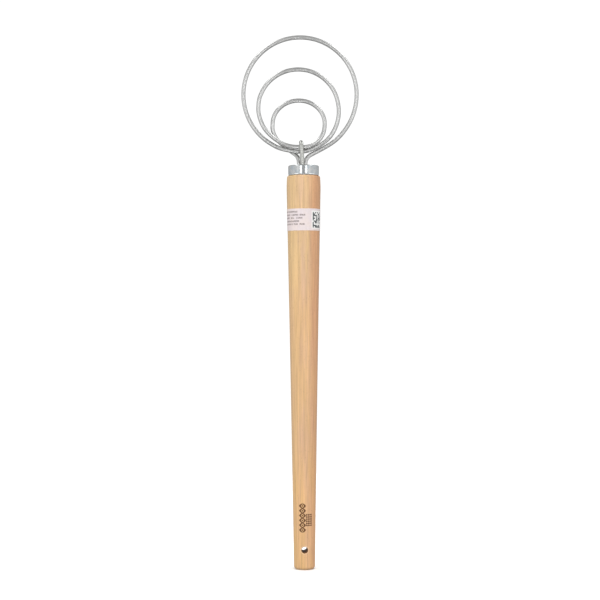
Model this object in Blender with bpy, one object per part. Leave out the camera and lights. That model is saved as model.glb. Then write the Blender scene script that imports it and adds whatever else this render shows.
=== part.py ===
"""Dough whisk: three nested loops of one steel wire on a long turned beech handle.

The handle stands on its butt at the origin with its axis along +Z. The loops lie close to
the XZ plane, and -Y is the side that shows the label's front. Dimensions are in
millimetres and are scaled to metres where a mesh or a curve is made.
"""

import math

import bmesh
import bpy
from mathutils import Matrix, Vector

MM = 0.001
WELD = 1e-6                     # metres, closes a turned mesh on itself and on its axis

# Fits
FIT_GAP = 0.3                   # between a piece and the one it sits in or on

# Handle: a slightly hollow taper that is widest just below the ferrule
BUTT_RADIUS = 7.9
BUTT_ROUNDING = 2.4
BELLY_RADIUS = 12.75
BELLY_HEIGHT = 285.5
TAPER_SAG = 0.2                 # how far the taper hollows in halfway along
SHOULDER_RADIUS = 12.4
SHOULDER_ROUNDING = 1.0
SHOULDER_HEIGHT = 294.2
TENON_RADIUS = 10.5
TENON_HEIGHT = 301.1
TENON_ROUNDING = 0.5
HANDLE_SEGMENTS = 72
TAPER_STEPS = 6

# Bore that holds the wire ends, and the cross-drilled hanging hole
BORE_RADIUS = 6.5
BORE_BOTTOM = 262.0
BORE_POINT = 3.0                # depth of the drill's conical point
HANG_HOLE_RADIUS = 2.4
HANG_HOLE_HEIGHT = 15.1
HANG_HOLE_OFFSET = -0.3
HANG_HOLE_YAW = math.radians(3.5)
HANG_HOLE_SEGMENTS = 32

# Ferrule: a shallow cup, open below, with a hole for the wires in its top
FERRULE_RADIUS = 11.45
FERRULE_WALL = 0.6
FERRULE_TOP = 302.0
FERRULE_HOLE_RADIUS = 6.0
FERRULE_ROUNDING = 0.8
FERRULE_SEGMENTS = 64

# Wire of the loops and of the clip
WIRE_DIAMETER = 3.2
WIRE_ROUNDNESS = 4              # bevel resolution, 12 sides
LOOP_WIRE_END = 266.0           # how deep both ends reach into the bore
CLIP_END = 278.0
RIGHT_STEM_X = 1.3
LEFT_STEM_X = -3.35
STRAND_TOP = -0.8               # depth (Y) of the upper strand where the clip holds it
STRAND_LOW = 0.8                # depth (Y) of the lower strand where the clip holds it

# The round part of each loop, as an ellipse about (x, z)
OUTER_CENTRE = (-2.5, 355.4)
OUTER_HALF_SIZE = (42.65, 43.15)
MIDDLE_CENTRE = (-3.9, 344.0)
MIDDLE_HALF_SIZE = (30.25, 30.2)
INNER_CENTRE = (-3.6, 333.5)
INNER_HALF_SIZE = (19.55, 17.5)
ARC_STEP = math.radians(10)

# Clip: a hairpin over the upper strand, leaning a little to the left
CLIP_STRAND_HEIGHT = 316.0      # centre of the strand that the clip hooks over
CLIP_CLEARANCE = 0.25
CLIP_FOOT_X = -0.7
CLIP_FOOT_HEIGHT = 303.8
CLIP_LEAN = -0.07               # x per z above the foot
CLIP_FOOT_DEPTH = 2.9           # half the distance between the legs in the bore
CLIP_WAIST_HEIGHT = 311.3       # where the legs start to close in

# Smoothing of the wires' centrelines
FINE_STEPS = 12                 # spline samples between two route points
MAX_TURN = math.radians(8)      # between two rings of the wire's mesh
MAX_STEP = 9.0

# Resin that holds the wire ends in the bore
PLUG_TOP = 300.9
PLUG_FLOOR = 2.0
CHANNEL_GAP = 0.3
CHANNEL_SEGMENTS = 24
PLUG_SEGMENTS = 48

# Paper band round the handle, lapped over itself at the back
LABEL_BOTTOM = 253.0
LABEL_TOP = 269.3
LABEL_THICKNESS = 0.15
LABEL_GAP = 0.15
LABEL_SEGMENTS = 72
LABEL_LAP = math.radians(15)
LABEL_SEAM = math.radians(90)   # the seam faces +Y


def clear_scene():
    for obj in list(bpy.data.objects):
        bpy.data.objects.remove(obj, do_unlink=True)


def material(name, colour, roughness, metallic=0.0):
    made = bpy.data.materials.new(name)
    made.use_nodes = True
    shader = made.node_tree.nodes["Principled BSDF"]
    shader.inputs["Base Color"].default_value = (*colour, 1.0)
    shader.inputs["Roughness"].default_value = roughness
    shader.inputs["Metallic"].default_value = metallic
    return made


def mesh_object(name, bm, finish, smooth_angle=math.radians(35)):
    bmesh.ops.remove_doubles(bm, verts=bm.verts, dist=WELD)
    bmesh.ops.recalc_face_normals(bm, faces=bm.faces)
    mesh = bpy.data.meshes.new(name)
    bm.to_mesh(mesh)
    bm.free()
    mesh.shade_smooth()
    mesh.set_sharp_from_angle(angle=smooth_angle)
    mesh.materials.append(finish)
    obj = bpy.data.objects.new(name, mesh)
    bpy.context.scene.collection.objects.link(obj)
    return obj


def turned(name, profile, segments, finish, closed=False):
    """Turn (radius, height) points round Z. An open profile starts and ends on the axis."""
    bm = bmesh.new()
    verts = [bm.verts.new((radius * MM, 0.0, height * MM)) for radius, height in profile]
    edges = [bm.edges.new(pair) for pair in zip(verts, verts[1:])]
    if closed:
        edges.append(bm.edges.new((verts[-1], verts[0])))
    bmesh.ops.spin(bm, geom=verts + edges, cent=(0, 0, 0), axis=(0, 0, 1),
                   angle=math.tau, steps=segments, use_merge=True)
    return mesh_object(name, bm, finish)


def rounding(centre, radius, start_deg, end_deg, steps=4):
    """Points of an edge rounding in the (radius, height) plane."""
    angles = [math.radians(start_deg + (end_deg - start_deg) * i / steps) for i in range(steps + 1)]
    return [(centre[0] + radius * math.cos(a), centre[1] + radius * math.sin(a)) for a in angles]


def prism(name, outline, bottom, top):
    """A hidden cutter: an outline of (x, y) points drawn up from one height to another."""
    bm = bmesh.new()
    face = bm.faces.new([bm.verts.new((x * MM, y * MM, bottom * MM)) for x, y in outline])
    risen = bmesh.ops.extrude_face_region(bm, geom=[face])
    moved = [item for item in risen["geom"] if isinstance(item, bmesh.types.BMVert)]
    bmesh.ops.translate(bm, verts=moved, vec=(0, 0, (top - bottom) * MM))
    cutter = mesh_object(name, bm, bpy.data.materials[0])
    cutter.hide_render = True
    cutter.display_type = "WIRE"
    return cutter


def circle_outline(radius, segments):
    return [(radius * math.cos(math.tau * i / segments), radius * math.sin(math.tau * i / segments))
            for i in range(segments)]


def slot_outline(centre, half_length, radius, direction, segments):
    """A straight slot with round ends. Its half circles lie half_length from the centre."""
    points = []
    for side in (0, 1):
        for i in range(segments // 2 + 1):
            angle = direction - math.pi / 2 + math.pi * (side + 2 * i / segments)
            reach = half_length if side == 0 else -half_length
            points.append((centre[0] + reach * math.cos(direction) + radius * math.cos(angle),
                           centre[1] + reach * math.sin(direction) + radius * math.sin(angle)))
    return points


def cut(obj, cutter):
    modifier = obj.modifiers.new(cutter.name, "BOOLEAN")
    modifier.operation = "DIFFERENCE"
    modifier.solver = "EXACT"
    modifier.object = cutter


def handle_radius(height):
    """Radius of the handle's slightly hollow taper."""
    share = (height - BUTT_ROUNDING) / (BELLY_HEIGHT - BUTT_ROUNDING)
    return BUTT_RADIUS + (BELLY_RADIUS - BUTT_RADIUS) * share - TAPER_SAG * 4 * share * (1 - share)


def make_handle(beech):
    butt = rounding((BUTT_RADIUS - BUTT_ROUNDING, BUTT_ROUNDING), BUTT_ROUNDING, -90, 0)
    heights = [BELLY_HEIGHT * i / TAPER_STEPS for i in range(1, TAPER_STEPS + 1)]
    taper = [(handle_radius(height), height) for height in heights]
    shoulder = rounding((SHOULDER_RADIUS - SHOULDER_ROUNDING, SHOULDER_HEIGHT - SHOULDER_ROUNDING),
                        SHOULDER_ROUNDING, 0, 90)
    tenon = rounding((TENON_RADIUS - TENON_ROUNDING, TENON_HEIGHT - TENON_ROUNDING),
                     TENON_ROUNDING, 0, 90, 2)
    profile = [(0, 0), *butt, *taper, *shoulder, (TENON_RADIUS, SHOULDER_HEIGHT), *tenon,
               (BORE_RADIUS, TENON_HEIGHT), (BORE_RADIUS, BORE_BOTTOM), (0, BORE_BOTTOM - BORE_POINT)]
    handle = turned("handle", profile, HANDLE_SEGMENTS, beech)

    reach = 2 * BUTT_RADIUS
    outline = circle_outline(HANG_HOLE_RADIUS, HANG_HOLE_SEGMENTS)
    drill = prism("hanging_hole_cutter", outline, -reach, reach)
    drill.location = (HANG_HOLE_OFFSET * MM, 0, HANG_HOLE_HEIGHT * MM)
    drill.rotation_euler = (math.pi / 2, 0, HANG_HOLE_YAW)
    cut(handle, drill)


def make_ferrule(aluminium):
    bottom = SHOULDER_HEIGHT + FIT_GAP
    inner = FERRULE_RADIUS - FERRULE_WALL
    ceiling = FERRULE_TOP - FERRULE_WALL
    outer_edge = rounding((FERRULE_RADIUS - FERRULE_ROUNDING, FERRULE_TOP - FERRULE_ROUNDING),
                          FERRULE_ROUNDING, 0, 90)
    inner_edge = rounding((inner - FIT_GAP, ceiling - FIT_GAP), FIT_GAP, 90, 0, 2)
    profile = [(FERRULE_RADIUS, bottom), *outer_edge, (FERRULE_HOLE_RADIUS, FERRULE_TOP),
               (FERRULE_HOLE_RADIUS, ceiling), *inner_edge, (inner, bottom)]
    turned("ferrule", profile, FERRULE_SEGMENTS, aluminium, closed=True)


def loop_arc(centre, half_size, start_deg, end_deg, start_depth, end_depth):
    """Route points on the round part of a loop, counter-clockwise seen from -Y."""
    sweep = math.radians(end_deg - start_deg)
    count = round(sweep / ARC_STEP)
    points = []
    for i in range(count + 1):
        angle = math.radians(start_deg) + sweep * i / count
        depth = start_depth + (end_depth - start_depth) * i / count
        points.append((centre[0] + half_size[0] * math.cos(angle), depth,
                       centre[1] + half_size[1] * math.sin(angle)))
    return points


def loop_wire_route():
    """Centreline of the one wire, from its right end in the bore to its left end."""
    right_stem = [(RIGHT_STEM_X, 0.0, z) for z in (LOOP_WIRE_END, 275.0, 285.0, 294.0, 300.0)]
    # Out of the ferrule and up along the underside of the middle loop, behind it
    to_outer = [(1.4, 0.1, 303.8), (2.1, 0.6, 306.8), (4.1, 1.5, 309.4), (7.4, 2.4, 311.4),
                (13.9, 2.5, 314.8), (20.1, 2.2, 318.4), (25.4, 1.9, 322.4), (30.3, 1.6, 327.8),
                (34.5, 1.3, 334.1)]
    # Across the foot of the loops, and up along the underside of the inner loop
    to_middle = [(-3.4, STRAND_LOW, 312.7), (2.6, 1.0, 313.3), (7.2, 1.0, 314.9), (12.0, 0.9, 317.4),
                 (16.5, 0.6, 320.4), (20.1, 0.5, 324.0), (23.0, 0.4, 328.5), (25.1, 0.3, 333.5),
                 (26.3, 0.2, 338.7), (26.55, 0.2, 344.2)]
    # Across the foot again, resting on the strand below
    to_inner = [(-33.8, -0.4, 344.0), (-33.0, -0.4, 338.9), (-31.3, -0.5, 334.0), (-28.9, -0.6, 329.6),
                (-25.1, -0.7, 325.3), (-20.3, STRAND_TOP, 321.3), (-14.6, STRAND_TOP, 318.05),
                (-9.0, STRAND_TOP, 316.4), (-3.7, STRAND_TOP, CLIP_STRAND_HEIGHT), (2.6, -1.0, 316.1),
                (7.1, -1.2, 317.75), (11.4, -1.1, 320.9), (13.5, -0.8, 323.8), (15.0, -0.5, 326.8),
                (15.7, -0.2, 330.1)]
    # Behind both strands and down into the ferrule
    to_bore = [(-23.2, 1.9, 330.1), (-22.4, 2.3, 326.6), (-20.9, 2.7, 323.5), (-18.8, 3.1, 320.8),
               (-12.7, 4.1, 315.6), (-9.0, 4.4, 312.9), (-6.3, 3.9, 310.9), (-4.7, 2.6, 309.1),
               (-3.65, 0.9, 306.2), (-3.4, 0.1, 303.4)]
    left_stem = [(LEFT_STEM_X, 0.0, z) for z in (300.0, 294.0, 285.0, 275.0, LOOP_WIRE_END)]
    return (right_stem + to_outer
            + loop_arc(OUTER_CENTRE, OUTER_HALF_SIZE, -20, 250, 1.1, STRAND_LOW) + to_middle
            + loop_arc(MIDDLE_CENTRE, MIDDLE_HALF_SIZE, 10, 165, 0.2, -0.4) + to_inner
            + loop_arc(INNER_CENTRE, INNER_HALF_SIZE, 0, 180, 0.0, 1.6) + to_bore + left_stem)


def clip_route():
    """Centreline of the hairpin: up the front leg, over the upper strand, down the back leg."""
    reach = WIRE_DIAMETER + CLIP_CLEARANCE
    front_top = STRAND_TOP - reach
    front = [(-CLIP_FOOT_DEPTH, z) for z in (CLIP_END, 285.0, 291.0, 297.0, 301.0)]
    front += [(front_top, CLIP_WAIST_HEIGHT), (front_top, 313.8)]
    quarter = rounding((STRAND_TOP, CLIP_STRAND_HEIGHT), reach, 180, 90, 6)
    half = front + quarter
    # The back leg mirrors the front one, because the strands lie as far behind the middle
    # plane as in front of it
    profile = half + [(-y, z) for y, z in reversed(half)]
    lean = [max(z - CLIP_FOOT_HEIGHT, 0.0) * CLIP_LEAN for _, z in profile]
    return [(CLIP_FOOT_X + shift, y, z) for shift, (y, z) in zip(lean, profile)]


def spline_through(route):
    """Dense points of a centripetal Catmull-Rom curve through the route points."""
    points = [Vector(p) for p in route]
    points = [2 * points[0] - points[1], *points, 2 * points[-1] - points[-2]]
    dense = []
    for p0, p1, p2, p3 in zip(points, points[1:], points[2:], points[3:]):
        t1 = math.sqrt((p1 - p0).length)
        t2 = t1 + math.sqrt((p2 - p1).length)
        t3 = t2 + math.sqrt((p3 - p2).length)
        for i in range(FINE_STEPS):
            t = t1 + (t2 - t1) * i / FINE_STEPS
            a1 = p0.lerp(p1, t / t1)
            a2 = p1.lerp(p2, (t - t1) / (t2 - t1))
            a3 = p2.lerp(p3, (t - t2) / (t3 - t2))
            b1 = a1.lerp(a2, t / t2)
            b2 = a2.lerp(a3, (t - t1) / (t3 - t1))
            dense.append(b1.lerp(b2, (t - t1) / (t2 - t1)))
    dense.append(points[-2])
    return dense


def thin_out(dense):
    """Keep a point wherever the curve has turned or run far enough since the last one."""
    kept = [dense[0]]
    turned_by = 0.0
    for before, here, after in zip(dense, dense[1:], dense[2:]):
        turned_by += (here - before).angle(after - here)
        if turned_by > MAX_TURN or (here - kept[-1]).length > MAX_STEP:
            kept.append(here)
            turned_by = 0.0
    kept.append(dense[-1])
    return kept


def make_wire(name, route, steel):
    points = thin_out(spline_through(route))
    curve = bpy.data.curves.new(name, "CURVE")
    curve.dimensions = "3D"
    curve.bevel_depth = WIRE_DIAMETER / 2 * MM
    curve.bevel_resolution = WIRE_ROUNDNESS
    curve.use_fill_caps = True
    spline = curve.splines.new("POLY")
    spline.points.add(len(points) - 1)
    for target, point in zip(spline.points, points):
        target.co = (*(point * MM), 1.0)
    curve.materials.append(steel)
    bpy.context.scene.collection.objects.link(bpy.data.objects.new(name, curve))


def make_bore_plug(resin):
    radius = BORE_RADIUS - FIT_GAP
    bottom = BORE_BOTTOM + FIT_GAP
    profile = [(0, bottom), (radius, bottom), (radius, PLUG_TOP), (0, PLUG_TOP)]
    plug = turned("bore_plug", profile, PLUG_SEGMENTS, resin)

    wire_room = WIRE_DIAMETER / 2 + CHANNEL_GAP
    floor = bottom + PLUG_FLOOR
    above = PLUG_TOP + PLUG_FLOOR
    stem_middle = ((LEFT_STEM_X + RIGHT_STEM_X) / 2, 0)
    stem_reach = (RIGHT_STEM_X - LEFT_STEM_X) / 2
    stems = slot_outline(stem_middle, stem_reach, wire_room, 0.0, CHANNEL_SEGMENTS)
    legs = slot_outline((CLIP_FOOT_X, 0), CLIP_FOOT_DEPTH, wire_room, math.pi / 2, CHANNEL_SEGMENTS)
    cut(plug, prism("stem_channel_cutter", stems, floor, above))
    cut(plug, prism("clip_channel_cutter", legs, floor, above))


def make_label(paper):
    """A strip wound once round the taper. Its last stretch climbs over its first."""
    climb = LABEL_THICKNESS + LABEL_GAP
    step = math.tau / LABEL_SEGMENTS
    count = round((math.tau + LABEL_LAP) / step)
    bm = bmesh.new()
    sections = []
    for i in range(count + 1):
        angle = LABEL_SEAM + i * step
        past_start = (i * step - (math.tau - LABEL_LAP)) / LABEL_LAP
        lift = LABEL_GAP + climb * min(max(past_start, 0.0), 1.0)
        section = []
        for height, outward in ((LABEL_BOTTOM, 0), (LABEL_TOP, 0), (LABEL_TOP, 1), (LABEL_BOTTOM, 1)):
            radius = handle_radius(height) + lift + outward * LABEL_THICKNESS
            section.append(bm.verts.new(Matrix.Rotation(angle, 3, "Z") @ Vector((radius, 0, height)) * MM))
        sections.append(section)
    for this, following in zip(sections, sections[1:]):
        for corner in range(4):
            beside = (corner + 1) % 4
            bm.faces.new((this[corner], this[beside], following[beside], following[corner]))
    bm.faces.new(sections[0])
    bm.faces.new(reversed(sections[-1]))
    mesh_object("label_band", bm, paper)


def build():
    clear_scene()
    beech = material("beech", (0.79, 0.54, 0.30), 0.55)
    aluminium = material("satin_aluminium", (0.66, 0.68, 0.70), 0.35, 1.0)
    steel = material("polished_steel", (0.62, 0.62, 0.60), 0.18, 1.0)
    resin = material("cast_resin", (0.30, 0.22, 0.13), 0.35)
    paper = material("label_paper", (0.83, 0.74, 0.71), 0.7)

    make_handle(beech)
    make_ferrule(aluminium)
    make_wire("loop_wire", loop_wire_route(), steel)
    make_wire("retaining_clip", clip_route(), steel)
    make_bore_plug(resin)
    make_label(paper)


build()
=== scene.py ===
"""Looks of the dough whisk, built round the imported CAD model.

Every visible piece is made here on the CAD's own dimensions, which are repeated below in
millimetres. The handle stands on its butt at the origin with its axis along +Z, and the label's
front and the burnt ornament face -Y.
"""

import math

import bmesh
import bpy
from mathutils import Matrix, Vector, noise


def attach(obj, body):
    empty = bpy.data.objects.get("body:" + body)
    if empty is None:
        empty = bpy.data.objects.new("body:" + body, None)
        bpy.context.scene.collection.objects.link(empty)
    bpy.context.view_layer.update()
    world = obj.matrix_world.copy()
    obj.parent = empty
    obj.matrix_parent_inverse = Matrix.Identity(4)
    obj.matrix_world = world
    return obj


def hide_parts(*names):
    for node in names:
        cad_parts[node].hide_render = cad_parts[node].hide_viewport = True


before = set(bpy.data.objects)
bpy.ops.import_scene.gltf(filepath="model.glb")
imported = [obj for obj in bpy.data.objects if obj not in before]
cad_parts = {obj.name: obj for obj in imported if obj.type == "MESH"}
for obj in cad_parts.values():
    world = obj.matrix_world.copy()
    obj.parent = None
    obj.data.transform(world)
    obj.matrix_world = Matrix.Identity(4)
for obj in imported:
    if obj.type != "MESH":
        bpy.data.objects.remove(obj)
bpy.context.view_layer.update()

MM = 0.001
SMOOTH_ANGLE = math.radians(40)

# Handle
BUTT_RADIUS = 7.9
BUTT_ROUNDING = 2.4
BUTT_RINGS = (0.0, 2.6, 4.6)    # radii of the mesh's rings on the flat end
BELLY_RADIUS = 12.75
BELLY_HEIGHT = 285.5
TAPER_SAG = 0.2                 # how far the taper hollows in halfway along
NECK = ((12.71, 287.5), (12.61, 290.0), (12.47, 292.4))   # (radius, height) above the belly
SHOULDER_RADIUS = 12.4
SHOULDER_ROUNDING = 1.0
SHOULDER_HEIGHT = 294.2
TENON_RADIUS = 10.5
TENON_HEIGHT = 301.1
TENON_EDGE = 0.5                # bevel round the tenon's end
BORE_RADIUS = 6.5
BORE_BOTTOM = 262.0
BORE_POINT = 3.0
HANDLE_SEGMENTS = 160
HANDLE_ROW = 4.0                # tallest row of the mesh along the plain taper

# Hanging hole
HOLE_RADIUS = 2.4
HOLE_HEIGHT = 15.1
HOLE_OFFSET = -0.3
HOLE_YAW = math.radians(3.5)
HOLE_EASING = 0.3               # radius of the rounded edge
HOLE_EASING_STEPS = 5
HOLE_WALL_STEPS = 8
PATCH_COLUMNS = 26              # mesh cells round each mouth of the hole
PATCH_ROWS = 14
PATCH_ROW = 0.6
PATCH_RINGS = 6

# Ferrule
FERRULE_RADIUS = 11.45
FERRULE_WALL = 0.6
FERRULE_BOTTOM = 294.5
FERRULE_TOP = 302.0
FERRULE_HOLE_RADIUS = 6.0
FERRULE_ROUNDING = 0.8
FERRULE_LIP = 0.25              # rounding of the edge of the hole in its top
FERRULE_CORNER = 0.3            # bevel inside, between wall and top
FERRULE_TOP_RINGS = (9.2, 7.8, 6.7)
FERRULE_SEGMENTS = 192
FERRULE_PLAIN = 2.0             # height above its lower edge where the plain wall starts
FERRULE_ROW = 1.0               # tallest row of the mesh along the plain wall
BEAD_HEIGHT = 0.9               # rolled bead along the ferrule's lower edge
BEAD_GROOVE = ((0.14, 0.9), (0.084, 1.125), (0.03, 1.44))   # (depth, height) above the bead

# Wires
WIRE_RADIUS = 1.58              # with the outer loop, a hair under the solid's faceted tube
WIRE_SIDES = 28
LOOP_WIRE_END = 266.0
CLIP_END = 278.0
RIGHT_STEM_X = 1.3
LEFT_STEM_X = -3.35
STRAND_TOP = -0.8
STRAND_LOW = 0.8
OUTER_CENTRE = (-2.5, 355.4)
OUTER_HALF_SIZE = (42.5, 43.0)
MIDDLE_CENTRE = (-3.9, 344.0)
MIDDLE_HALF_SIZE = (30.25, 30.2)
INNER_CENTRE = (-3.6, 333.5)
INNER_HALF_SIZE = (19.55, 17.5)
ARC_STEP = math.radians(10)
CLIP_STRAND_HEIGHT = 316.0
CLIP_REACH = 3.45
CLIP_FOOT_X = -0.7
CLIP_FOOT_HEIGHT = 303.8
CLIP_LEAN = -0.07
CLIP_FOOT_DEPTH = 2.9
CLIP_WAIST_HEIGHT = 311.3
FINE_STEPS = 16
MAX_TURN = math.radians(2.6)
MAX_STEP = 3.0

# Resin in the bore
PLUG_RADIUS = 6.2
PLUG_BOTTOM = 262.3
PLUG_TOP = 300.9
PLUG_DISH = 0.5                 # how far the set resin sags between the rim and the middle
PLUG_GAP = 0.03                 # round each wire
PLUG_END_GAP = 0.2              # under each wire's end
PLUG_RINGS = 12
PLUG_SEGMENTS = 96
PLUG_HOLE_SEGMENTS = 48
PLUG_OVERCUT = 2.0              # how far the cutters stand out of the resin

# Paper band
LABEL_BOTTOM = 253.0
LABEL_TOP = 269.3
LABEL_THICKNESS = 0.12
LABEL_GAP = 0.06
LABEL_CLIMB = 0.2
LABEL_SEGMENTS = 240
LABEL_ROWS = 24
LABEL_LAP = math.radians(15)
LABEL_SEAM = math.radians(90)
LABEL_TRIM = 0.05               # waviness of the cut edges
LABEL_COCKLE = 0.035            # waviness of the paper

# Print on the label: word-like rows on the left and a panel of square cells on the right.
# Arcs run round the band from the middle of its front, positive towards +X.
PRINT_ROWS = ((2.4, -17.0, -4.7), (4.75, -17.0, 1.2), (7.0, -17.0, 0.2), (9.4, -17.0, -3.4),
              (11.6, -17.0, 0.7))   # (middle's distance below the label's top, first arc, last arc)
PRINT_HALF_HEIGHT = 0.62
PANEL_ARCS = (6.1, 16.2)
PANEL_HEIGHTS = (LABEL_BOTTOM + 1.5, LABEL_TOP - 1.6)
CELL = 1.06
CELL_COLUMNS = 8
CELL_ROWS = 11
CELLS_LEFT = 6.9
CELLS_TOP = LABEL_TOP - 2.5
CELL_SHARE = 0.56               # share of the cells that are dark

# Burnt ornament near the butt: a twisted cord with a bead in each link, and a lattice of dots
CORD_X = -1.45
CORD_BOTTOM = 28.3
CORD_LINK = 3.6                 # height of one link
CORD_LINKS = 6
CORD_SWING = 1.75               # how far each strand swings to either side
CORD_STROKE = (0.55, 0.9)       # burnt up to the first distance from its line, fading to the second
CORD_BEAD = (0.4, 0.75)         # likewise from its centre
LATTICE_WIDTH = (1.2, 5.4)
LATTICE_HEIGHT = (33.0, 42.2)
LATTICE_DOT = (1.7, 33.4)       # (x, z) of one dot
LATTICE_HALF_PITCH = 0.8
LATTICE_STROKE = (0.7, 1.05)    # likewise, measured along x plus along z

# Picture and stage, in metres from here on
VIEW_CENTRE = (-0.0029, 0.0, 0.20135)   # what the middle of the picture shows
VIEW_SPAN = 0.4499              # width of the picture at the object
CAMERA_DISTANCE = 1.1
CAMERA_ROLL = math.radians(0.14)
SENSOR = 36.0                   # millimetres
FLOOR_RADIUS = 0.6

# Radiances of the room and of the lights
BACKDROP = 1.05
ROOM_FRONT = 0.50
ROOM_BACK = 0.34
ROOM_SIDES = 0.36
STRIP = 2.5
GLOW = 0.28
WING = 2.8
CARD = 0.08
FILL = 2.5
OVERHEAD = 7.5

# Places and (width, height) of the lights. Strips, glows and wings come in pairs, left and
# right, and are placed from the middle of the loops.
LOOPS_MIDDLE = (0.0, 0.0, 0.35)
STRIP_PLACE = (0.395, -1.1)
STRIP_SIZE = (0.22, 0.84)
GLOW_PLACE = (0.80, -1.0)
GLOW_SIZE = (0.60, 0.84)
WING_REACH = 1.16
WING_DEPTH = 0.1
WING_CLIMBS = {-1: math.radians(57), 1: math.radians(53)}
WING_SIZE = (1.2, 0.40)
CARD_PLACE = (0.0, -0.24, 0.06)
CARD_TARGET = (0.0, 0.0, 0.305)
CARD_SIZE = (0.5, 0.12)
CARD_BEAM = math.radians(18)
FILL_PLACE = (-0.4, -2.4, 0.36)
FILL_TARGET = (0.0, 0.0, 0.13)
FILL_SIZE = (2.0, 2.0)
OVERHEAD_PLACE = (0.0, 0.0, 2.4)
OVERHEAD_TARGET = (0.0, 0.0, 0.0)
OVERHEAD_SIZE = (1.2, 1.2)


# ---------------------------------------------------------------- meshes

def mesh_object(name, bm):
    bmesh.ops.recalc_face_normals(bm, faces=bm.faces)
    mesh = bpy.data.meshes.new(name)
    bm.to_mesh(mesh)
    bm.free()
    mesh.shade_smooth()
    mesh.set_sharp_from_angle(angle=SMOOTH_ANGLE)
    obj = bpy.data.objects.new(name, mesh)
    bpy.context.scene.collection.objects.link(obj)
    return obj


def rounding(centre, radius, start_deg, end_deg, steps):
    """Points of an edge rounding in the (radius, height) plane."""
    angles = [math.radians(start_deg + (end_deg - start_deg) * i / steps) for i in range(steps + 1)]
    return [(centre[0] + radius * math.cos(a), centre[1] + radius * math.sin(a)) for a in angles]


def spread(start, end, step):
    """Evenly spaced numbers from start to end, both included, no more than step apart."""
    count = max(1, math.ceil(abs(end - start) / step - 1e-6))
    return [start + (end - start) * i / count for i in range(count + 1)]


def turned_rows(bm, profile, segments):
    """One ring of vertices per (radius, height) point; a point on the axis gives one vertex."""
    rows = []
    for radius, height in profile:
        if radius < 1e-6:
            rows.append([bm.verts.new((0.0, 0.0, height * MM))])
            continue
        rows.append([
            bm.verts.new((radius * math.cos(math.tau * i / segments) * MM,
                          radius * math.sin(math.tau * i / segments) * MM, height * MM))
            for i in range(segments)])
    return rows


def bridge(bm, low, high, skip=()):
    """Faces between two rings, or between a ring and one vertex on the axis."""
    count = max(len(low), len(high))
    for i in range(count):
        if i in skip:
            continue
        j = (i + 1) % count
        if len(low) == 1:
            bm.faces.new((low[0], high[j], high[i]))
        elif len(high) == 1:
            bm.faces.new((low[i], low[j], high[0]))
        else:
            bm.faces.new((low[i], low[j], high[j], high[i]))


def turned(name, profile, segments, closed=False):
    bm = bmesh.new()
    rows = turned_rows(bm, profile, segments)
    pairs = list(zip(rows, rows[1:]))
    if closed:
        pairs.append((rows[-1], rows[0]))
    for low, high in pairs:
        bridge(bm, low, high)
    return mesh_object(name, bm)


# ---------------------------------------------------------------- handle

def handle_radius(height):
    share = (height - BUTT_ROUNDING) / (BELLY_HEIGHT - BUTT_ROUNDING)
    return BUTT_RADIUS + (BELLY_RADIUS - BUTT_RADIUS) * share - TAPER_SAG * 4 * share * (1 - share)


def hole_mouth(side):
    """Directions of one mouth of the hole: out of the wood, and to the right seen from outside."""
    out = Vector((math.sin(HOLE_YAW), -math.cos(HOLE_YAW), 0)) * side
    right = Vector((math.cos(HOLE_YAW), math.sin(HOLE_YAW), 0)) * side
    return out, right


def on_surface(u, w, out, right):
    """The point of the handle's surface at (u, w) from the hole's axis, seen along it."""
    middle = Vector((HOLE_OFFSET, 0, HOLE_HEIGHT))
    across = middle.dot(right) + u
    reach = math.sqrt(handle_radius(HOLE_HEIGHT + w) ** 2 - across ** 2)
    return right * across + out * reach + Vector((0, 0, HOLE_HEIGHT + w))


def patch_outline(rows, first_row, first_column):
    """The lathe vertices round a block of cells, counter-clockwise from its lower left corner."""
    last_row = first_row + PATCH_ROWS
    last_column = first_column + PATCH_COLUMNS
    places = [(first_row, c) for c in range(first_column, last_column)]
    places += [(r, last_column) for r in range(first_row, last_row)]
    places += [(last_row, c) for c in range(last_column, first_column, -1)]
    places += [(r, first_column) for r in range(last_row, first_row, -1)]
    return [rows[r][c % HANDLE_SEGMENTS] for r, c in places]


def fill_mouth(bm, outline, out, right):
    """Rings of cells from a block's outline in to the hole's mouth and over its rounded edge."""
    middle = Vector((HOLE_OFFSET, 0, HOLE_HEIGHT))
    flat = []
    for vert in outline:
        offset = vert.co / MM - middle
        flat.append((offset.dot(right), offset.z))
    angles = [math.atan2(w, u) for u, w in flat]
    mouth = HOLE_RADIUS + HOLE_EASING
    rings = [outline]
    for i in range(1, PATCH_RINGS + 1):
        t = i / PATCH_RINGS
        ring = []
        for (u, w), angle in zip(flat, angles):
            point = on_surface(u + (mouth * math.cos(angle) - u) * t,
                               w + (mouth * math.sin(angle) - w) * t, out, right)
            ring.append(bm.verts.new(point * MM))
        rings.append(ring)
    for i in range(1, HOLE_EASING_STEPS + 1):
        turn = math.pi / 2 * i / HOLE_EASING_STEPS
        radius = HOLE_RADIUS + HOLE_EASING * (1 - math.sin(turn))
        depth = HOLE_EASING * (1 - math.cos(turn))
        ring = []
        for angle in angles:
            point = on_surface(radius * math.cos(angle), radius * math.sin(angle), out, right)
            ring.append(bm.verts.new((point - out * depth) * MM))
        rings.append(ring)
    for outer, inner in zip(rings, rings[1:]):
        bridge(bm, outer, inner)
    return rings[-1]


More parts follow.
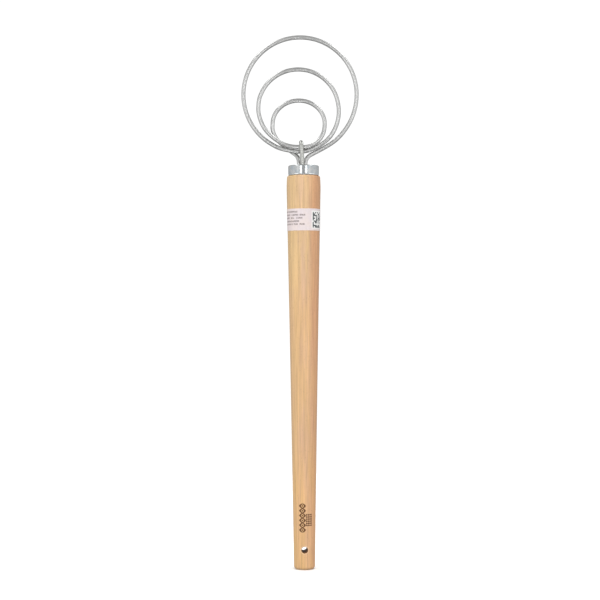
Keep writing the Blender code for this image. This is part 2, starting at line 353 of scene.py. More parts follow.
def make_handle():
    butt = [(radius, 0.0) for radius in BUTT_RINGS]
    butt += rounding((BUTT_RADIUS - BUTT_ROUNDING, BUTT_ROUNDING), BUTT_ROUNDING, -90, 0, 10)
    patch_low = HOLE_HEIGHT - PATCH_ROWS / 2 * PATCH_ROW
    patch_high = HOLE_HEIGHT + PATCH_ROWS / 2 * PATCH_ROW
    heights = spread(BUTT_ROUNDING, patch_low, PATCH_ROW)[1:-1]
    first_row = len(butt) + len(heights)
    heights += spread(patch_low, patch_high, PATCH_ROW)
    heights += spread(patch_high, BELLY_HEIGHT, HANDLE_ROW)[1:]
    taper = [(handle_radius(height), height) for height in heights]
    shoulder = rounding((SHOULDER_RADIUS - SHOULDER_ROUNDING, SHOULDER_HEIGHT - SHOULDER_ROUNDING),
                        SHOULDER_ROUNDING, 0, 90, 8)
    tenon = [(TENON_RADIUS, SHOULDER_HEIGHT), (TENON_RADIUS, TENON_HEIGHT - TENON_EDGE),
             (TENON_RADIUS - TENON_EDGE, TENON_HEIGHT), (BORE_RADIUS, TENON_HEIGHT),
             (BORE_RADIUS, BORE_BOTTOM), (0.0, BORE_BOTTOM - BORE_POINT)]

    bm = bmesh.new()
    rows = turned_rows(bm, butt + taper + list(NECK) + shoulder + tenon, HANDLE_SEGMENTS)
    mouths = []
    skipped = set()
    for side in (1, -1):
        out, right = hole_mouth(side)
        centre = on_surface(0, 0, out, right)
        column = round(math.atan2(centre.y, centre.x) / math.tau * HANDLE_SEGMENTS)
        first_column = column - PATCH_COLUMNS // 2
        skipped |= {c % HANDLE_SEGMENTS for c in range(first_column, first_column + PATCH_COLUMNS)}
        outline = patch_outline(rows, first_row, first_column)
        mouths.append(fill_mouth(bm, outline, out, right))
    for i, (low, high) in enumerate(zip(rows, rows[1:])):
        in_patch = first_row <= i < first_row + PATCH_ROWS
        bridge(bm, low, high, skipped if in_patch else ())

    # The wall joins each vertex of the front mouth to the one straight behind it
    front, back = mouths
    paired = [back[(PATCH_COLUMNS - k) % len(back)] for k in range(len(front))]
    rings = [front]
    for i in range(1, HOLE_WALL_STEPS):
        t = i / HOLE_WALL_STEPS
        rings.append([bm.verts.new(a.co.lerp(b.co, t)) for a, b in zip(front, paired)])
    rings.append(paired)
    for outer, inner in zip(rings, rings[1:]):
        bridge(bm, outer, inner)
    for vert in [v for v in bm.verts if not v.link_faces]:
        bm.verts.remove(vert)
    return mesh_object("turned_handle", bm)


# ---------------------------------------------------------------- ferrule

def make_ferrule():
    inner = FERRULE_RADIUS - FERRULE_WALL
    ceiling = FERRULE_TOP - FERRULE_WALL
    bead = BEAD_HEIGHT / 2
    bead_centre = (FERRULE_RADIUS - bead, FERRULE_BOTTOM + bead)
    profile = rounding(bead_centre, bead, -90, 50, 9)
    profile += [(FERRULE_RADIUS - depth, FERRULE_BOTTOM + height) for depth, height in BEAD_GROOVE]
    wall = spread(FERRULE_BOTTOM + FERRULE_PLAIN, FERRULE_TOP - FERRULE_ROUNDING, FERRULE_ROW)
    profile += [(FERRULE_RADIUS, height) for height in wall[:-1]]
    profile += rounding((FERRULE_RADIUS - FERRULE_ROUNDING, FERRULE_TOP - FERRULE_ROUNDING),
                        FERRULE_ROUNDING, 0, 90, 8)
    profile += [(radius, FERRULE_TOP) for radius in FERRULE_TOP_RINGS]
    profile += rounding((FERRULE_HOLE_RADIUS + FERRULE_LIP, FERRULE_TOP - FERRULE_LIP),
                        FERRULE_LIP, 90, 180, 4)
    profile += [(FERRULE_HOLE_RADIUS, ceiling), (inner - FERRULE_CORNER, ceiling),
                (inner, ceiling - FERRULE_CORNER), (inner, FERRULE_BOTTOM)]
    return turned("ferrule_cup", profile, FERRULE_SEGMENTS, closed=True)


# ---------------------------------------------------------------- wires

def loop_arc(centre, half_size, start_deg, end_deg, start_depth, end_depth):
    """Route points on the round part of a loop, counter-clockwise seen from -Y."""
    sweep = math.radians(end_deg - start_deg)
    count = round(sweep / ARC_STEP)
    points = []
    for i in range(count + 1):
        angle = math.radians(start_deg) + sweep * i / count
        depth = start_depth + (end_depth - start_depth) * i / count
        points.append((centre[0] + half_size[0] * math.cos(angle), depth,
                       centre[1] + half_size[1] * math.sin(angle)))
    return points


def loop_wire_route():
    """Centreline of the one wire, from its right end in the bore to its left end."""
    right_stem = [(RIGHT_STEM_X, 0.0, z) for z in (LOOP_WIRE_END, 275.0, 285.0, 294.0, 300.0)]
    to_outer = [(1.4, 0.1, 303.8), (2.1, 0.6, 306.8), (4.1, 1.5, 309.4), (7.4, 2.4, 311.4),
                (13.9, 2.5, 314.8), (20.1, 2.2, 318.4), (25.4, 1.9, 322.4), (30.3, 1.6, 327.8),
                (34.5, 1.3, 334.1)]
    to_middle = [(-3.4, STRAND_LOW, 312.7), (2.6, 1.0, 313.3), (7.2, 1.0, 314.9), (12.0, 0.9, 317.4),
                 (16.5, 0.6, 320.4), (20.1, 0.5, 324.0), (23.0, 0.4, 328.5), (25.1, 0.3, 333.5),
                 (26.3, 0.2, 338.7), (26.55, 0.2, 344.2)]
    to_inner = [(-33.8, -0.4, 344.0), (-33.0, -0.4, 338.9), (-31.3, -0.5, 334.0), (-28.9, -0.6, 329.6),
                (-25.1, -0.7, 325.3), (-20.3, STRAND_TOP, 321.3), (-14.6, STRAND_TOP, 318.05),
                (-9.0, STRAND_TOP, 316.4), (-3.7, STRAND_TOP, CLIP_STRAND_HEIGHT), (2.6, -1.0, 316.1),
                (7.1, -1.2, 317.75), (11.4, -1.1, 320.9), (13.5, -0.8, 323.8), (15.0, -0.5, 326.8),
                (15.7, -0.2, 330.1)]
    to_bore = [(-23.2, 1.9, 330.1), (-22.4, 2.3, 326.6), (-20.9, 2.7, 323.5), (-18.8, 3.1, 320.8),
               (-12.7, 4.1, 315.6), (-9.0, 4.4, 312.9), (-6.3, 3.9, 310.9), (-4.7, 2.6, 309.1),
               (-3.65, 0.9, 306.2), (-3.4, 0.1, 303.4)]
    left_stem = [(LEFT_STEM_X, 0.0, z) for z in (300.0, 294.0, 285.0, 275.0, LOOP_WIRE_END)]
    return (right_stem + to_outer
            + loop_arc(OUTER_CENTRE, OUTER_HALF_SIZE, -20, 250, 1.1, STRAND_LOW) + to_middle
            + loop_arc(MIDDLE_CENTRE, MIDDLE_HALF_SIZE, 10, 165, 0.2, -0.4) + to_inner
            + loop_arc(INNER_CENTRE, INNER_HALF_SIZE, 0, 180, 0.0, 1.6) + to_bore + left_stem)


def clip_route():
    """Centreline of the hairpin: up the front leg, over the upper strand, down the back leg."""
    front_top = STRAND_TOP - CLIP_REACH
    front = [(-CLIP_FOOT_DEPTH, z) for z in (CLIP_END, 285.0, 291.0, 297.0, 301.0)]
    front += [(front_top, CLIP_WAIST_HEIGHT), (front_top, 313.8)]
    half = front + rounding((STRAND_TOP, CLIP_STRAND_HEIGHT), CLIP_REACH, 180, 90, 6)
    profile = half + [(-y, z) for y, z in reversed(half)]
    lean = [max(z - CLIP_FOOT_HEIGHT, 0.0) * CLIP_LEAN for _, z in profile]
    return [(CLIP_FOOT_X + shift, y, z) for shift, (y, z) in zip(lean, profile)]


def spline_through(route):
    """Dense points of a centripetal Catmull-Rom curve through the route points."""
    points = [Vector(p) for p in route]
    points = [2 * points[0] - points[1], *points, 2 * points[-1] - points[-2]]
    dense = []
    for p0, p1, p2, p3 in zip(points, points[1:], points[2:], points[3:]):
        t1 = math.sqrt((p1 - p0).length)
        t2 = t1 + math.sqrt((p2 - p1).length)
        t3 = t2 + math.sqrt((p3 - p2).length)
        for i in range(FINE_STEPS):
            t = t1 + (t2 - t1) * i / FINE_STEPS
            a1 = p0.lerp(p1, t / t1)
            a2 = p1.lerp(p2, (t - t1) / (t2 - t1))
            a3 = p2.lerp(p3, (t - t2) / (t3 - t2))
            b1 = a1.lerp(a2, t / t2)
            b2 = a2.lerp(a3, (t - t1) / (t3 - t1))
            dense.append(b1.lerp(b2, (t - t1) / (t2 - t1)))
    dense.append(points[-2])
    return dense


def thin_out(dense):
    """Keep a point wherever the curve has turned or run far enough since the last one."""
    kept = [dense[0]]
    turned_by = 0.0
    for before, here, after in zip(dense, dense[1:], dense[2:]):
        turned_by += (here - before).angle(after - here)
        if turned_by > MAX_TURN or (here - kept[-1]).length > MAX_STEP:
            kept.append(here)
            turned_by = 0.0
    kept.append(dense[-1])
    return kept


def make_wire(name, route):
    """A round tube along the route, its rings turned no more than the route itself turns."""
    points = thin_out(spline_through(route))
    bm = bmesh.new()
    skin = bm.verts.layers.float_vector.new("skin")
    forward = (points[1] - points[0]).normalized()
    side = forward.orthogonal().normalized()
    rings = []
    run = 0.0
    for i, point in enumerate(points):
        before = points[max(i - 1, 0)]
        after = points[min(i + 1, len(points) - 1)]
        heading = (after - before).normalized()
        side = (forward.rotation_difference(heading) @ side).normalized()
        forward = heading
        run += (point - before).length
        ring = []
        for k in range(WIRE_SIDES):
            angle = math.tau * k / WIRE_SIDES
            turn = Matrix.Rotation(angle, 3, forward)
            vert = bm.verts.new((point + turn @ side * WIRE_RADIUS) * MM)
            vert[skin] = (math.cos(angle), math.sin(angle), run)
            ring.append(vert)
        rings.append(ring)
    for low, high in zip(rings, rings[1:]):
        bridge(bm, low, high)
    bm.faces.new(rings[0])
    bm.faces.new(rings[-1])
    return mesh_object(name, bm)


# ---------------------------------------------------------------- resin and label

def make_plug():
    profile = [(0.0, PLUG_BOTTOM), (PLUG_RADIUS, PLUG_BOTTOM), (PLUG_RADIUS, PLUG_TOP)]
    for i in range(1, PLUG_RINGS):
        radius = PLUG_RADIUS * (1 - i / PLUG_RINGS)
        sag = PLUG_DISH * (1 - (radius / PLUG_RADIUS) ** 4)
        profile.append((radius, PLUG_TOP - sag))
    profile.append((0.0, PLUG_TOP - PLUG_DISH))
    plug = turned("bore_resin", profile, PLUG_SEGMENTS)
    radius = WIRE_RADIUS + PLUG_GAP
    above = PLUG_TOP + PLUG_OVERCUT
    places = [(RIGHT_STEM_X, 0.0, LOOP_WIRE_END), (LEFT_STEM_X, 0.0, LOOP_WIRE_END),
              (CLIP_FOOT_X, -CLIP_FOOT_DEPTH, CLIP_END), (CLIP_FOOT_X, CLIP_FOOT_DEPTH, CLIP_END)]
    for number, (x, y, bottom) in enumerate(places):
        floor = bottom - PLUG_END_GAP
        outline = [(0.0, floor), (radius, floor), (radius, above), (0.0, above)]
        hole = turned(f"wire_hole_{number}", outline, PLUG_HOLE_SEGMENTS)
        hole.location = (x * MM, y * MM, 0)
        cut = plug.modifiers.new(hole.name, "BOOLEAN")
        cut.operation = "DIFFERENCE"
        cut.solver = "EXACT"
        cut.object = hole
        bpy.context.view_layer.update()
        bpy.context.view_layer.objects.active = plug
        bpy.ops.object.modifier_apply(modifier=cut.name)
        bpy.data.objects.remove(hole, do_unlink=True)
    plug.data.set_sharp_from_angle(angle=SMOOTH_ANGLE)
    return plug


def make_label():
    """A strip of paper wound once round the taper, its last stretch glued over its first."""
    step = math.tau / LABEL_SEGMENTS
    count = round((math.tau + LABEL_LAP) / step)
    bm = bmesh.new()
    sections = []
    for i in range(count + 1):
        angle = LABEL_SEAM + i * step
        aim = Vector((math.cos(angle), math.sin(angle)))
        past = (i * step - (math.tau - LABEL_LAP)) / LABEL_LAP
        lift = LABEL_GAP + LABEL_CLIMB * min(max(past, 0.0), 1.0)
        outline = []
        heights = spread(0.0, 1.0, 1 / LABEL_ROWS)
        for outward, order in ((0, heights), (1, heights[::-1])):
            for share in order:
                trim = noise.noise(Vector((i * 0.11, share * 9, 3.0))) * LABEL_TRIM
                height = LABEL_BOTTOM + (LABEL_TOP - LABEL_BOTTOM) * share + trim
                cockle = noise.noise(Vector((*(aim * 2.2), share * 1.6))) * LABEL_COCKLE
                radius = handle_radius(height) + lift + outward * LABEL_THICKNESS + cockle
                outline.append(bm.verts.new(Vector((*(aim * radius), height)) * MM))
        sections.append(outline)
    for this, following in zip(sections, sections[1:]):
        bridge(bm, this, following)
    bm.faces.new(sections[0])
    bm.faces.new(sections[-1])
    return mesh_object("paper_label", bm)


# ---------------------------------------------------------------- materials

class Nodes:
    """A tree of shader nodes. A value may be a number, a colour or another node's socket."""

    def __init__(self, tree):
        self.tree = tree

    def put(self, socket, value):
        if isinstance(value, bpy.types.NodeSocket):
            self.tree.links.new(value, socket)
        else:
            socket.default_value = value

    def add(self, kind, inputs, output=0, **settings):
        node = self.tree.nodes.new(kind)
        for key, value in settings.items():
            setattr(node, key, value)
        for key, value in inputs.items():
            self.put(node.inputs[key], value)
        return node.outputs[output]

    def math(self, operation, a, b=0.0):
        return self.add("ShaderNodeMath", {0: a, 1: b}, operation=operation)

    def plus(self, first, *others):
        for other in others:
            first = self.math("ADD", first, other)
        return first

    def minus(self, a, b):
        return self.math("SUBTRACT", a, b)

    def times(self, first, *others):
        for other in others:
            first = self.math("MULTIPLY", first, other)
        return first

    def sway(self, value, amount):
        """A value about one half, made into one about zero and multiplied by the amount."""
        return self.times(self.minus(value, 0.5), amount)

    def length(self, a, b):
        return self.math("SQRT", self.plus(self.times(a, a), self.times(b, b)))

    def scaled(self, vector, factors):
        return self.add("ShaderNodeVectorMath", {0: vector, 1: factors}, operation="MULTIPLY")

    def split(self, vector):
        node = self.tree.nodes.new("ShaderNodeSeparateXYZ")
        self.put(node.inputs[0], vector)
        return node.outputs

    def join(self, x, y, z):
        return self.add("ShaderNodeCombineXYZ", {0: x, 1: y, 2: z})

    def noise(self, vector, scale, detail=2.0, rough=0.5):
        return self.add("ShaderNodeTexNoise", {"Vector": vector, "Scale": scale, "Detail": detail,
                                               "Roughness": rough})

    def ease(self, value, low, high, to_low=0.0, to_high=1.0):
        """A smooth step from to_low at low to to_high at high."""
        return self.add("ShaderNodeMapRange", {"Value": value, "From Min": low, "From Max": high,
                                               "To Min": to_low, "To Max": to_high},
                        interpolation_type="SMOOTHSTEP")

    def straight(self, value, low, high, to_low, to_high):
        """A straight ramp from to_low at low to to_high at high, and level beyond."""
        return self.add("ShaderNodeMapRange", {"Value": value, "From Min": low, "From Max": high,
                                               "To Min": to_low, "To Max": to_high})

    def blend(self, factor, a, b, how="MIX"):
        return self.add("ShaderNodeMix", {0: factor, 6: a, 7: b}, output=2, data_type="RGBA",
                        blend_type=how)

    def grey(self, value):
        return self.add("ShaderNodeCombineColor", {0: value, 1: value, 2: value})

    def between(self, value, low, high, soft):
        """1 inside low..high, falling to 0 over soft on each side."""
        up = self.ease(value, low - soft, low + soft)
        down = self.ease(value, high - soft, high + soft, 1.0, 0.0)
        return self.times(up, down)


class Paint(Nodes):
    """A piece's material."""

    def __init__(self, name):
        self.material = bpy.data.materials.new(name)
        self.material.use_nodes = True
        super().__init__(self.material.node_tree)
        self.shader = self.tree.nodes["Principled BSDF"]

    def millimetres(self):
        place = self.tree.nodes.new("ShaderNodeTexCoord").outputs["Object"]
        return self.scaled(place, (1000, 1000, 1000))

    def bump(self, height, distance_mm, strength=1.0):
        made = self.add("ShaderNodeBump", {"Height": height, "Distance": distance_mm * MM,
                                           "Strength": strength})
        self.put(self.shader.inputs["Normal"], made)

    def set(self, **values):
        for key, value in values.items():
            self.put(self.shader.inputs[key.replace("_", " ")], value)


def rgb(red, green, blue):
    return (red, green, blue, 1.0)


def burnt_ornament(paint, x, y, z):
    """1 on the strokes of the cord, its beads and the lattice, on the handle's front."""
    front = paint.ease(y, -2.0, -1.0, 1.0, 0.0)
    cord_x = paint.minus(x, CORD_X)
    turn = paint.times(paint.minus(z, CORD_BOTTOM), math.pi / CORD_LINK)
    wave = paint.times(paint.math("SINE", turn), CORD_SWING)
    strands = []
    for swing in (wave, paint.times(wave, -1.0)):
        off = paint.math("ABSOLUTE", paint.minus(cord_x, swing))
        strands.append(paint.ease(off, *CORD_STROKE, 1.0, 0.0))
    bead_z = paint.math("PINGPONG", paint.minus(z, CORD_BOTTOM - CORD_LINK / 2), CORD_LINK / 2)
    bead = paint.ease(paint.length(cord_x, bead_z), *CORD_BEAD, 1.0, 0.0)
    cord = paint.math("MAXIMUM", paint.math("MAXIMUM", *strands), bead)
    cord_top = CORD_BOTTOM + CORD_LINKS * CORD_LINK
    cord = paint.times(cord, paint.between(z, CORD_BOTTOM, cord_top, 0.15))

    dot_x = paint.math("PINGPONG", paint.minus(x, LATTICE_DOT[0]), LATTICE_HALF_PITCH)
    dot_z = paint.math("PINGPONG", paint.minus(z, LATTICE_DOT[1]), LATTICE_HALF_PITCH)
    dots = paint.times(paint.ease(paint.plus(dot_x, dot_z), *LATTICE_STROKE, 1.0, 0.0),
                       paint.between(x, *LATTICE_WIDTH, 0.1), paint.between(z, *LATTICE_HEIGHT, 0.1))
    return paint.times(paint.math("MAXIMUM", cord, dots), front)


def beech_figure(paint, place):
    """The beech's late wood, its streaks of three widths and the short dark flecks of the rays."""
    x, y, _ = paint.split(place)
    wander = paint.noise(paint.scaled(place, (0.05, 0.05, 0.006)), 1.0, 2.0)
    wander_fine = paint.noise(paint.scaled(place, (0.3, 0.3, 0.012)), 1.0, 2.0)
    # Growth rings: sheets that lean across the blank and wander slowly along it
    lean = paint.plus(paint.times(x, 0.84), paint.times(y, 0.54))
    sheet = paint.plus(lean, paint.times(wander, 22.0), paint.times(wander_fine, 3.0))
    late_wood = paint.math("POWER", paint.math("FRACT", paint.math("DIVIDE", sheet, 2.9)), 3.0)

    broad = paint.noise(paint.scaled(place, (0.55, 0.55, 0.011)), 1.0, 3.0, 0.55)
    streak = paint.noise(paint.scaled(place, (1.15, 1.15, 0.02)), 1.0, 2.0, 0.55)
    fine = paint.noise(paint.scaled(place, (2.6, 2.6, 0.05)), 1.0, 3.0, 0.6)

    cells = paint.tree.nodes.new("ShaderNodeTexVoronoi")
    cells.feature = "F1"
    paint.put(cells.inputs["Vector"], paint.scaled(place, (1.35, 1.35, 0.42)))
    paint.put(cells.inputs["Scale"], 1.0)
    size = paint.times(paint.split(cells.outputs["Color"])[0], 0.22)
    fleck = paint.ease(paint.minus(cells.outputs["Distance"], size), -0.04, 0.05, 1.0, 0.0)
    return late_wood, broad, streak, fine, fleck


def beech_colour(paint, place):
    """The wood's colour: a slow random drift, yellower painted light on the left, redder painted shade on
    the right, and redder at the bottom.
    """
    x, _, z = paint.split(place)
    patch = paint.noise(paint.scaled(place, (0.16, 0.16, 0.02)), 1.0, 3.0, 0.6)
    colour = paint.blend(paint.ease(patch, 0.36, 0.64), rgb(0.612, 0.402, 0.198), rgb(0.585, 0.382, 0.228))
    # Painted light: the left side of the handle made lighter and yellower
    painted_light_left = paint.times(paint.ease(x, -9.0, -1.0, 1.0, 0.0), 0.55)
    colour = paint.blend(painted_light_left, colour, rgb(0.61, 0.425, 0.205))
    # Painted shade: the right side of the handle made darker and redder, less so low down
    ragged_x = paint.plus(x, paint.times(patch, 4.0))
    painted_shade_right = paint.times(paint.ease(ragged_x, 4.0, 10.5), paint.ease(z, 90, 260, 0.55, 1.0))
    colour = paint.blend(painted_shade_right, colour, rgb(0.555, 0.30, 0.155))
    tint = paint.blend(paint.ease(z, 40, 115), rgb(1.13, 1.035, 0.93), rgb(1.02, 0.965, 0.95))
    tint = paint.blend(paint.ease(z, 190, 240), tint, rgb(1.0, 1.0, 1.0))
    return paint.blend(1.0, colour, tint, "MULTIPLY")


def beech():
    paint = Paint("beech")
    place = paint.millimetres()
    x, y, z = paint.split(place)
    late_wood, broad, streak, fine, fleck = beech_figure(paint, place)
    shade = paint.plus(1.0, paint.sway(broad, 0.44), paint.sway(streak, 0.40), paint.sway(fine, 0.50),
                       paint.times(late_wood, -0.07), paint.times(fleck, -0.24))
    colour = paint.blend(1.0, beech_colour(paint, place), paint.grey(shade), "MULTIPLY")

    # The drilled hole's wall is painted dark, as painted shade inside the hole and scorching, with a rubbed
    # ring round its mouth
    across = paint.plus(paint.times(paint.minus(x, HOLE_OFFSET), math.cos(HOLE_YAW)),
                        paint.times(y, math.sin(HOLE_YAW)))
    from_drill = paint.length(across, paint.minus(z, HOLE_HEIGHT))
    # Painted shade and scorching inside the hole
    hole_shade_and_scorch = paint.times(paint.ease(from_drill, HOLE_RADIUS, HOLE_RADIUS + 0.25, 1.0, 0.0), 0.85)
    colour = paint.blend(hole_shade_and_scorch, colour, rgb(0.27, 0.115, 0.04))
    rubbed = paint.times(paint.between(from_drill, HOLE_RADIUS + 0.35, HOLE_RADIUS + 0.9, 0.15), 0.4)
    colour = paint.blend(rubbed, colour, rgb(0.80, 0.60, 0.42))

    # The butt's end is darker, and the tenon is painted darker as painted shade in the gap under the
    # ferrule
    butt_darkening = paint.times(paint.ease(z, 0.2, 2.6, 1.0, 0.0), 0.22)
    colour = paint.blend(butt_darkening, colour, rgb(0.40, 0.25, 0.13))
    # Painted shade on the tenon, seen only through the gap under the ferrule
    painted_shade_under_ferrule = paint.times(paint.ease(z, SHOULDER_HEIGHT + 0.1, SHOULDER_HEIGHT + 1.2), 0.4)
    colour = paint.blend(painted_shade_under_ferrule, colour, rgb(0.33, 0.19, 0.10))

    charred = paint.noise(paint.scaled(place, (1.6, 1.6, 0.5)), 1.0, 3.0, 0.6)
    burn = paint.times(burnt_ornament(paint, x, y, z), paint.straight(charred, 0.3, 0.7, 0.88, 1.0))
    colour = paint.blend(burn, colour, rgb(0.10, 0.036, 0.010))
    rough = paint.plus(paint.straight(fine, 0.3, 0.7, 0.46, 0.60), paint.times(burn, 0.15))
    paint.set(Base_Color=colour, Roughness=rough, Specular_IOR_Level=0.5)

    pores = paint.noise(paint.scaled(place, (7.0, 7.0, 0.35)), 1.0, 2.0, 0.6)
    relief = paint.plus(paint.times(fine, 0.5), paint.times(pores, 0.5), paint.times(fleck, -0.25),
                        paint.times(burn, -1.4))
    paint.bump(relief, 0.07, 0.6)
    return paint.material


def wire_steel(name, tone):
    """Drawn stainless wire with a soft polish and faint draw lines along its length."""
    paint = Paint(name)
    skin = paint.add("ShaderNodeAttribute", {}, output=1, attribute_name="skin")
    lines = paint.noise(paint.scaled(skin, (1, 1, 0.008)), 5.0, 2.0, 0.5)
    smears = paint.noise(paint.millimetres(), 0.16, 2.0, 0.5)
    shade = paint.plus(paint.straight(lines, 0.25, 0.75, 0.93, 1.05),
                       paint.straight(smears, 0.3, 0.7, -0.04, 0.04))
    colour = paint.blend(1.0, rgb(*tone), paint.grey(shade), "MULTIPLY")
    rough = paint.plus(paint.straight(lines, 0.25, 0.75, 0.30, 0.35),
                       paint.straight(smears, 0.3, 0.7, -0.02, 0.04))
    paint.set(Base_Color=colour, Roughness=rough, Metallic=1.0)
    paint.bump(lines, 0.004, 0.4)
    return paint.material


def satin_aluminium():
    """A drawn cup: fine rings round it, a soft cloudy skin and brighter rubbed edges."""
    paint = Paint("satin_aluminium")
    place = paint.millimetres()
    z = paint.split(place)[2]
    rings = paint.noise(paint.scaled(place, (0.06, 0.06, 5.0)), 1.0, 4.0, 0.7)
    clouds = paint.noise(place, 0.32, 4.0, 0.6)
    specks = paint.noise(place, 3.0, 3.0, 0.6)
    tint = paint.blend(paint.ease(clouds, 0.38, 0.62), rgb(0.50, 0.55, 0.58), rgb(0.60, 0.61, 0.61))
    shade = paint.plus(paint.straight(rings, 0.25, 0.75, 0.94, 1.04),
                       paint.straight(specks, 0.3, 0.7, -0.03, 0.03))
    colour = paint.blend(1.0, tint, paint.grey(shade), "MULTIPLY")
    rim = paint.math("MAXIMUM", paint.ease(z, FERRULE_TOP - 0.9, FERRULE_TOP - 0.2),
                     paint.between(z, FERRULE_BOTTOM, FERRULE_BOTTOM + BEAD_HEIGHT, 0.15))
    colour = paint.blend(paint.times(rim, 0.45), colour, rgb(0.78, 0.80, 0.80))
    rough = paint.plus(paint.straight(clouds, 0.3, 0.7, 0.13, 0.18),
                       paint.straight(rings, 0.25, 0.75, -0.01, 0.02))
    paint.set(Base_Color=colour, Roughness=rough, Metallic=1.0)
    paint.bump(rings, 0.006, 0.4)
    return paint.material


def amber_resin():
    paint = Paint("amber_resin")
    place = paint.millimetres()
    swirl = paint.noise(place, 0.5, 4.0, 0.6)
    dust = paint.noise(place, 4.0, 3.0, 0.6)
    colour = paint.blend(paint.ease(swirl, 0.35, 0.65), rgb(0.16, 0.11, 0.06), rgb(0.07, 0.05, 0.03))
    colour = paint.blend(paint.ease(dust, 0.60, 0.75, 0.0, 0.5), colour, rgb(0.34, 0.28, 0.20))
    paint.set(Base_Color=colour, Roughness=paint.straight(dust, 0.3, 0.7, 0.28, 0.5))
    paint.bump(swirl, 0.15, 0.5)
    return paint.material


def printed_rows(paint, arc, height):
    """Rows of short strokes in word-like groups, with no letter shapes."""
    total = 0.0
    down = paint.minus(LABEL_TOP, height)
    for number, (middle, start, end) in enumerate(PRINT_ROWS):
        words = paint.noise(paint.join(paint.times(arc, 0.42), number * 7.3, 0.0), 1.0, 0.0)
        strokes = paint.noise(paint.join(paint.times(arc, 2.3), number * 5.1, paint.times(height, 0.9)),
                              1.0, 1.0)
        ink = paint.times(paint.ease(words, 0.28, 0.36), paint.ease(strokes, 0.34, 0.52, 0.25, 1.0),
                          paint.between(down, middle - PRINT_HALF_HEIGHT, middle + PRINT_HALF_HEIGHT, 0.12),
                          paint.between(arc, start, end, 0.15))
        total = paint.math("MAXIMUM", total, ink)
    return total


def block_pattern(paint, arc, height):
    """Scattered square cells in a rectangle, which encode nothing."""
    column = paint.math("FLOOR", paint.math("DIVIDE", paint.minus(arc, CELLS_LEFT), CELL))
    row = paint.math("FLOOR", paint.math("DIVIDE", paint.minus(CELLS_TOP, height), CELL))
    chance = paint.add("ShaderNodeTexWhiteNoise", {"Vector": paint.join(column, row, 4.0)},
                       noise_dimensions="3D")
    return paint.times(paint.math("LESS_THAN", chance, CELL_SHARE),
                       paint.between(arc, CELLS_LEFT, CELLS_LEFT + CELL_COLUMNS * CELL, 0.04),
                       paint.between(height, CELLS_TOP - CELL_ROWS * CELL, CELLS_TOP, 0.04))


def label_paper():
    paint = Paint("label_paper")
    place = paint.millimetres()
    x, y, z = paint.split(place)
    middle_radius = handle_radius((LABEL_BOTTOM + LABEL_TOP) / 2)
    arc = paint.times(paint.math("ARCTAN2", x, paint.times(y, -1.0)), middle_radius)
    fibres = paint.noise(paint.scaled(place, (2.2, 2.2, 5.0)), 1.0, 4.0, 0.65)
    tone = paint.noise(place, 0.14, 3.0, 0.5)
    colour = paint.blend(paint.ease(tone, 0.35, 0.65), rgb(0.685, 0.597, 0.575), rgb(0.655, 0.585, 0.60))
    fibre_shade = paint.grey(paint.straight(fibres, 0.25, 0.75, 0.94, 1.05))
    colour = paint.blend(1.0, colour, fibre_shade, "MULTIPLY")
    panel = paint.times(paint.between(arc, *PANEL_ARCS, 0.1), paint.between(z, *PANEL_HEIGHTS, 0.1))
    colour = paint.blend(paint.times(panel, 0.9), colour, rgb(0.78, 0.78, 0.76))
    rows = paint.times(printed_rows(paint, arc, z), 0.72)
    colour = paint.blend(rows, colour, rgb(0.16, 0.13, 0.12))
    blocks = paint.times(block_pattern(paint, arc, z), 0.9)
    colour = paint.blend(blocks, colour, rgb(0.03, 0.04, 0.045))
    edge = paint.math("MAXIMUM", paint.ease(z, LABEL_BOTTOM, LABEL_BOTTOM + 0.35, 1.0, 0.0),
                      paint.ease(z, LABEL_TOP - 0.35, LABEL_TOP))
    colour = paint.blend(paint.times(edge, 0.35), colour, rgb(0.80, 0.62, 0.50))
    paint.set(Base_Color=colour, Roughness=paint.straight(fibres, 0.25, 0.75, 0.62, 0.78),
              Specular_IOR_Level=0.3)
    paint.bump(fibres, 0.03, 0.6)
    return paint.material


# ---------------------------------------------------------------- pieces

def finish_piece(obj, paint, node):
    obj.data.materials.clear()
    obj.data.materials.append(paint)
    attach(obj, "root")
    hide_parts(node)


finish_piece(make_handle(), beech(), "handle")
finish_piece(make_ferrule(), satin_aluminium(), "ferrule")
finish_piece(make_wire("whisk_wire", loop_wire_route()), wire_steel("whisk_steel", (0.62, 0.622, 0.615)),
             "loop_wire")
finish_piece(make_wire("clip_wire", clip_route()), wire_steel("clip_steel", (0.54, 0.545, 0.52)),
             "retaining_clip")
finish_piece(make_plug(), amber_resin(), "bore_plug")
finish_piece(make_label(), label_paper(), "label_band")


# ---------------------------------------------------------------- stage, light and camera

def make_floor():
    """A plain pale disc that only the camera sees, so that it adds no light from below."""
    bm = bmesh.new()
    bmesh.ops.create_circle(bm, cap_ends=True, radius=FLOOR_RADIUS, segments=96)
    floor = mesh_object("floor", bm)
    paint = Paint("pale_floor")
    paint.set(Base_Color=rgb(0.9, 0.9, 0.9), Roughness=0.9, Specular_IOR_Level=0.0)
    floor.data.materials.append(paint.material)
    floor.visible_diffuse = False
    floor.visible_glossy = False


def soft_box(name, place, target, size, radiance, beam=math.pi):
    """A rectangular area light of the given radiance, aimed at a point."""
    data = bpy.data.lights.new(name, "AREA")
    data.shape = "RECTANGLE"
    data.size, data.size_y = size
    data.energy = radiance * data.size * data.size_y * math.pi
    data.spread = beam
    lamp = bpy.data.objects.new(name, data)
    bpy.context.scene.collection.objects.link(lamp)
    lamp.location = place
    aim = Vector(target) - Vector(place)
    lamp.rotation_mode = "QUATERNION"
    lamp.rotation_quaternion = aim.to_track_quat("-Z", "Y")
    lamp.visible_camera = False
    return lamp


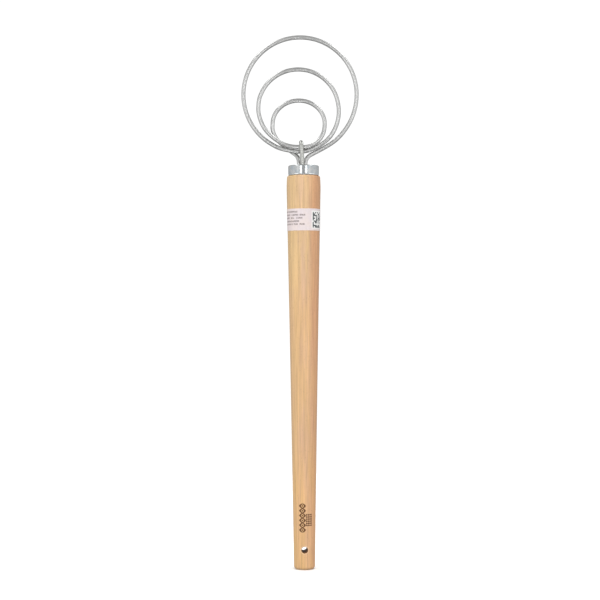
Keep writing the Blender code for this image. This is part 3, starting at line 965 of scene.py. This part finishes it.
def make_world():
    """White to the camera; to the object a grey room, lighter at both sides and darker behind."""
    world = bpy.data.worlds.new("studio")
    bpy.context.scene.world = world
    world.use_nodes = True
    studio = Nodes(world.node_tree)
    room = studio.tree.nodes["Background"]
    room.inputs["Color"].default_value = rgb(1.0, 1.0, 1.0)
    x, y, z = studio.split(studio.tree.nodes.new("ShaderNodeTexCoord").outputs["Generated"])
    walls = studio.ease(y, -0.1, 0.6, ROOM_FRONT, ROOM_BACK)
    sideways = studio.ease(studio.math("ABSOLUTE", x), 0.35, 0.8)
    level = studio.ease(studio.math("ABSOLUTE", z), 0.3, 0.7, 1.0, 0.0)
    extra = studio.times(sideways, level, ROOM_SIDES)
    studio.put(room.inputs["Strength"], studio.plus(walls, extra))
    white = studio.add("ShaderNodeBackground", {"Color": rgb(1.0, 1.0, 1.0), "Strength": BACKDROP})
    to_camera = studio.tree.nodes.new("ShaderNodeLightPath").outputs["Is Camera Ray"]
    seen = studio.add("ShaderNodeMixShader", {0: to_camera, 1: room.outputs[0], 2: white})
    studio.put(studio.tree.nodes["World Output"].inputs["Surface"], seen)


def make_lights():
    middle = Vector(LOOPS_MIDDLE)
    for side in (-1, 1):
        for kind, (x, y), size, radiance in (("strip", STRIP_PLACE, STRIP_SIZE, STRIP),
                                             ("glow", GLOW_PLACE, GLOW_SIZE, GLOW)):
            soft_box(f"{kind}_{side}", middle + Vector((side * x, y, 0)), middle, size, radiance)
        climb = WING_CLIMBS[side]
        offset = Vector((side * WING_REACH * math.cos(climb), WING_DEPTH, WING_REACH * math.sin(climb)))
        soft_box(f"wing_{side}", middle + offset, middle, WING_SIZE, WING)
    # A card below the loops, whose narrow beam fades out towards the top of the outer one
    card = soft_box("card", CARD_PLACE, CARD_TARGET, CARD_SIZE, CARD, CARD_BEAM)
    card.visible_diffuse = False
    # Broad light that no metal reflects
    fill = soft_box("front_fill", FILL_PLACE, FILL_TARGET, FILL_SIZE, FILL)
    fill.visible_glossy = False
    overhead = soft_box("overhead", OVERHEAD_PLACE, OVERHEAD_TARGET, OVERHEAD_SIZE, OVERHEAD)
    overhead.visible_glossy = False


def make_camera():
    data = bpy.data.cameras.new("camera")
    data.sensor_width = SENSOR
    data.lens = SENSOR * CAMERA_DISTANCE / VIEW_SPAN
    data.clip_start = 0.05
    data.clip_end = 60
    camera = bpy.data.objects.new("camera", data)
    bpy.context.scene.collection.objects.link(camera)
    camera.location = Vector(VIEW_CENTRE) - Vector((0, CAMERA_DISTANCE, 0))
    camera.rotation_euler = (math.pi / 2, CAMERA_ROLL, 0)
    bpy.context.scene.camera = camera


make_floor()
make_world()
make_camera()
make_lights()
bpy.context.scene.view_settings.view_transform = "Standard"
bpy.context.scene.view_settings.look = "None"
